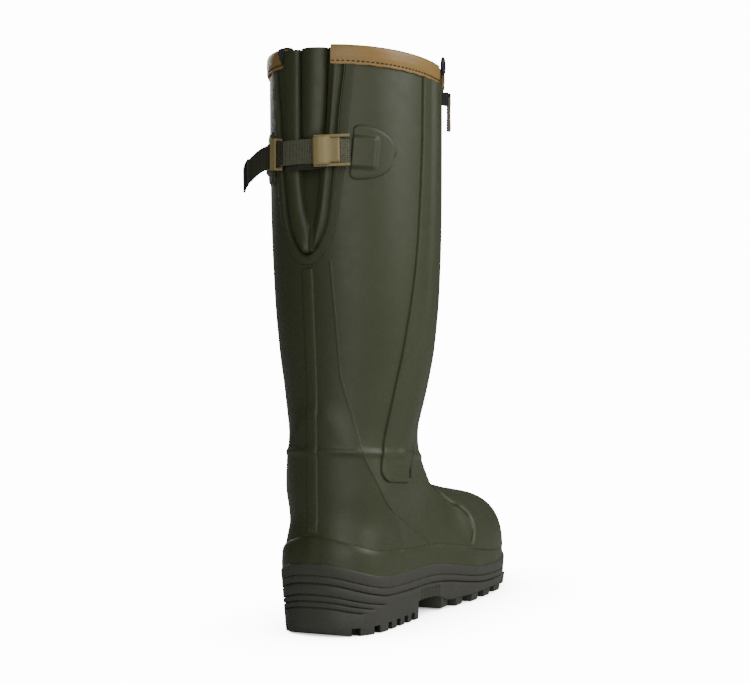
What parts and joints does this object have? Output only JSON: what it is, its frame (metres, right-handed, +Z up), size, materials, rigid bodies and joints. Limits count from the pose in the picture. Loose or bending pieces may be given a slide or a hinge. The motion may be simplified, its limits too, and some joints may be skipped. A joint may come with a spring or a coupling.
{
  "type": "wellington boot",
  "caption": "Tall hollow rubber wellington boot for the right foot, with a lugged sole, a side zip and a folded rear gusset under a buckled strap.",
  "frame": {"origin": "on the floor, under the middle of the boot's bounding box", "axes": "+Z up from the floor along the shaft, +Y from heel to toe, +X to the outer side of the right foot"},
  "size_m": [0.1358, 0.3039, 0.4449],
  "materials": {
    "outsole": "matte",
    "insole": "matte",
    "upper": "satin",
    "rand": "satin",
    "toe_cap": "satin",
    "back_stay": "satin",
    "gusset": "satin",
    "gusset_tape": "matte",
    "zip_placket": "satin",
    "zip_chain": "matte",
    "zip_slider": "satin",
    "zip_pull_tab": "satin",
    "zip_top_loop": "satin",
    "binding_outer": "satin",
    "binding_front": "satin",
    "strap_patch_outer": "satin",
    "strap_patch_inner": "satin",
    "strap_webbing": "matte",
    "strap_under_layer": "matte",
    "strap_tail": "matte",
    "strap_tail_tip": "satin",
    "strap_keeper": "satin",
    "buckle_frame": "satin",
    "buckle_plate": "satin"
  },
  "bodies": {
    "boot": {"outsole": "outsole", "insole": "insole", "upper": "upper", "rand": "rand", "toe_cap": "toe_cap", "back_stay": "back_stay", "gusset": "gusset", "gusset_tape": "gusset_tape", "zip_placket": "zip_placket", "zip_chain": "zip_chain", "zip_slider": "zip_slider", "zip_top_loop": "zip_top_loop", "binding_outer": "binding_outer", "binding_front": "binding_front", "strap_patch_outer": "strap_patch_outer", "strap_patch_inner": "strap_patch_inner", "strap_webbing": "strap_webbing", "strap_under_layer": "strap_under_layer", "strap_tail": "strap_tail", "strap_tail_tip": "strap_tail_tip", "strap_keeper": "strap_keeper", "buckle_frame": "buckle_frame", "buckle_plate": "buckle_plate"},
    "zip_pull": {"zip_pull_tab": "zip_pull_tab"}
  },
  "joints": [
    {"name": "pull_tab_swing", "type": "hinge", "parent": "boot", "child": "zip_pull", "pos_m": [0.06571, -0.02959, 0.40732], "axis": [0.2399, -0.9708, 0], "range_deg": [0, 150]}
  ]
}
